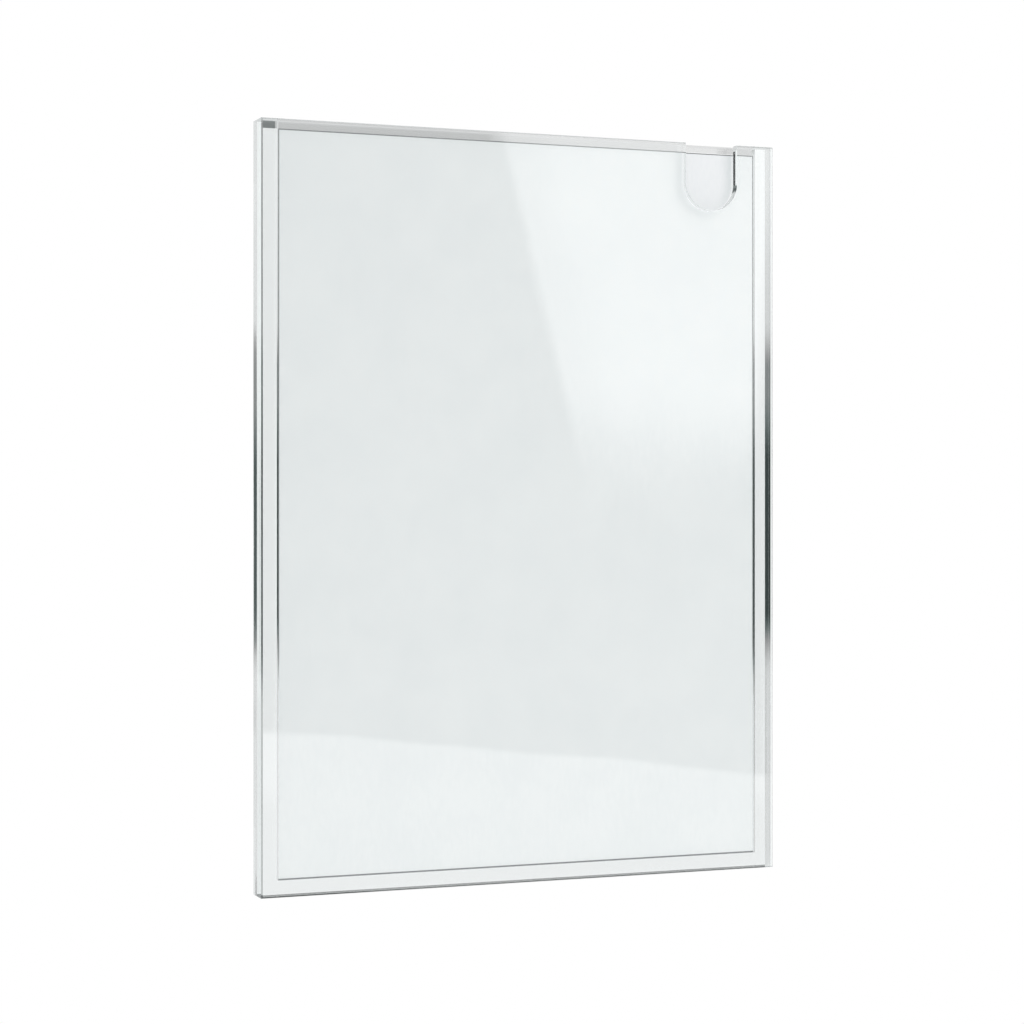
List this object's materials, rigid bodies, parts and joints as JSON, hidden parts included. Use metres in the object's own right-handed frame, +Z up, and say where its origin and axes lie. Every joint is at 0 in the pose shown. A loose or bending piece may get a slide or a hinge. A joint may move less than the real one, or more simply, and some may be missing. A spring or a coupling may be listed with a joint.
{
  "type": "wall document holder",
  "caption": "Clear acrylic wall holder for an upright A4 sheet: a front and a back panel spaced by side and bottom strips, open at the top, with a round thumb notch.",
  "frame": {"origin": "middle of the holder's width and height on the wall plane, which is the rear face of the mounting pads", "axes": "+Y into the wall, so the front faces -Y; +Z up, the way the sheet is drawn out; +X to the right of someone facing the holder"},
  "size_m": [0.2256, 0.0129, 0.307],
  "materials": {
    "clear_acrylic": "clear, polished",
    "paper": "blank white matt paper",
    "foam_pad": "closed-cell foam, matt"
  },
  "bodies": {
    "holder": {"back_panel": "clear_acrylic", "front_panel": "clear_acrylic", "spacer_left": "clear_acrylic", "spacer_right": "clear_acrylic", "spacer_bottom": "clear_acrylic", "mounting_pad_upper_left": "foam_pad", "mounting_pad_upper_right": "foam_pad", "mounting_pad_lower_left": "foam_pad", "mounting_pad_lower_right": "foam_pad"},
    "insert": {"insert_sheet": "paper"}
  },
  "joints": [
    {"name": "insert_slide", "type": "slide", "parent": "holder", "child": "insert", "axis": [0, 0, 1], "range_m": [0, 0.31]}
  ]
}
